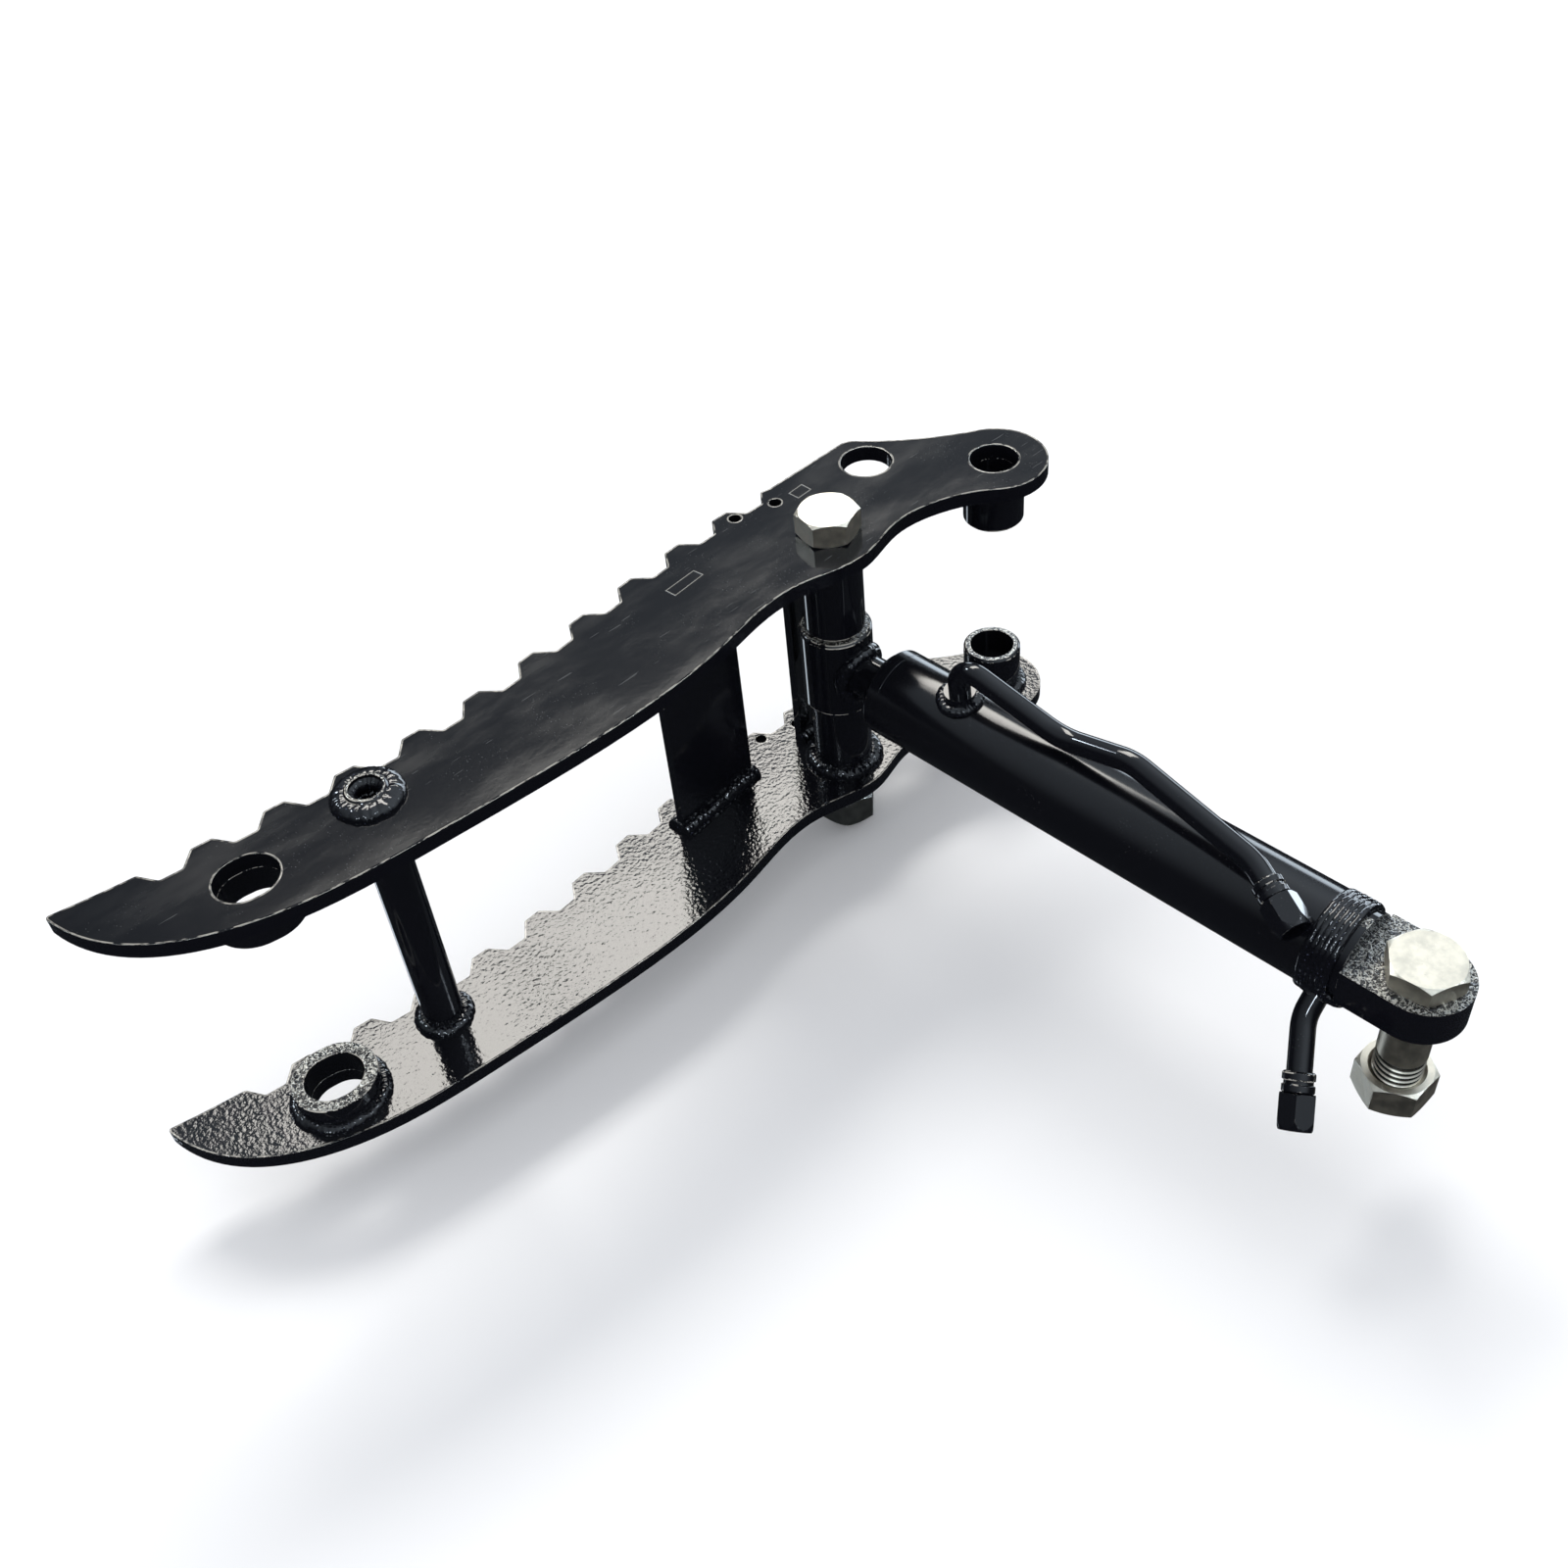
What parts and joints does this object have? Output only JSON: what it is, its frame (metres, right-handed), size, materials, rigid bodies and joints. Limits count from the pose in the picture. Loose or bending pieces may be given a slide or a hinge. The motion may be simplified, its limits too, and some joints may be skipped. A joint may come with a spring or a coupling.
{
  "type": "excavator thumb with hydraulic cylinder",
  "caption": "Toothed twin-plate gripping thumb for a digger arm, with cross tube, braces, bushed pivot holes and a double-acting hydraulic cylinder hinged between its plates.",
  "frame": {"origin": "on the main pivot axis, midway between the two side plates", "axes": "+Z along the pivot axes, +X from the main pivot towards the toothed tip, +Y the way the cylinder leaves the back of the thumb"},
  "size_m": [0.6537, 0.5187, 0.266],
  "materials": {
    "black_paint": "gloss black paint with orange peel",
    "zinc": "dull zinc plate",
    "bare_steel": "machined steel",
    "seal_rubber": "oiled seal"
  },
  "bodies": {
    "frame": {"side_plate_upper": "black_paint", "side_plate_lower": "black_paint", "tip_boss_upper": "black_paint", "tip_boss_lower": "black_paint", "weld_tip_bosses": "black_paint", "tip_cross_tube": "black_paint", "weld_cross_tube": "black_paint", "middle_brace": "black_paint", "weld_middle_brace": "black_paint", "pivot_brace": "black_paint", "weld_pivot_brace": "black_paint", "main_bush_upper": "black_paint", "main_bush_lower": "black_paint", "weld_main_bushes": "black_paint", "rod_spacer_upper": "black_paint", "rod_spacer_lower": "black_paint", "weld_rod_spacers": "black_paint", "pivot_bolt": "zinc", "pivot_nut": "zinc"},
    "rod": {"rod_eye": "black_paint", "piston_rod": "black_paint", "weld_rod_eye": "black_paint", "piston": "bare_steel", "piston_seal": "seal_rubber", "piston_wear_rings": "seal_rubber", "piston_nut": "bare_steel"},
    "barrel": {"gland_head": "black_paint", "rod_wiper": "seal_rubber", "rod_seal": "seal_rubber", "gland_o_ring": "seal_rubber", "cylinder_barrel": "black_paint", "base_eye": "black_paint", "weld_base_eye": "black_paint", "rod_port_boss": "black_paint", "weld_rod_port": "black_paint", "rod_port_pipe": "black_paint", "rod_port_collar": "black_paint", "rod_port_union_nut": "black_paint", "base_port_boss": "black_paint", "weld_base_port": "black_paint", "base_port_pipe": "black_paint", "base_port_collar": "black_paint", "base_port_union_nut": "black_paint"},
    "base_fastener": {"base_bolt": "zinc", "base_nut": "zinc"}
  },
  "joints": [
    {"name": "rod_swing", "type": "hinge", "parent": "frame", "child": "rod", "pos_m": [0.125, -0.0255, -0.004], "axis": [0, 0, 1], "range_deg": [-55, 50]},
    {"name": "rod_stroke", "type": "slide", "parent": "rod", "child": "barrel", "axis": [-0.0314, 0.9995, 0], "range_m": [0, 0.2]},
    {"name": "base_bolt_turn", "type": "hinge", "parent": "barrel", "child": "base_fastener", "pos_m": [0.11173, 0.39679, -0.004], "axis": [0, 0, 1], "continuous": true}
  ]
}
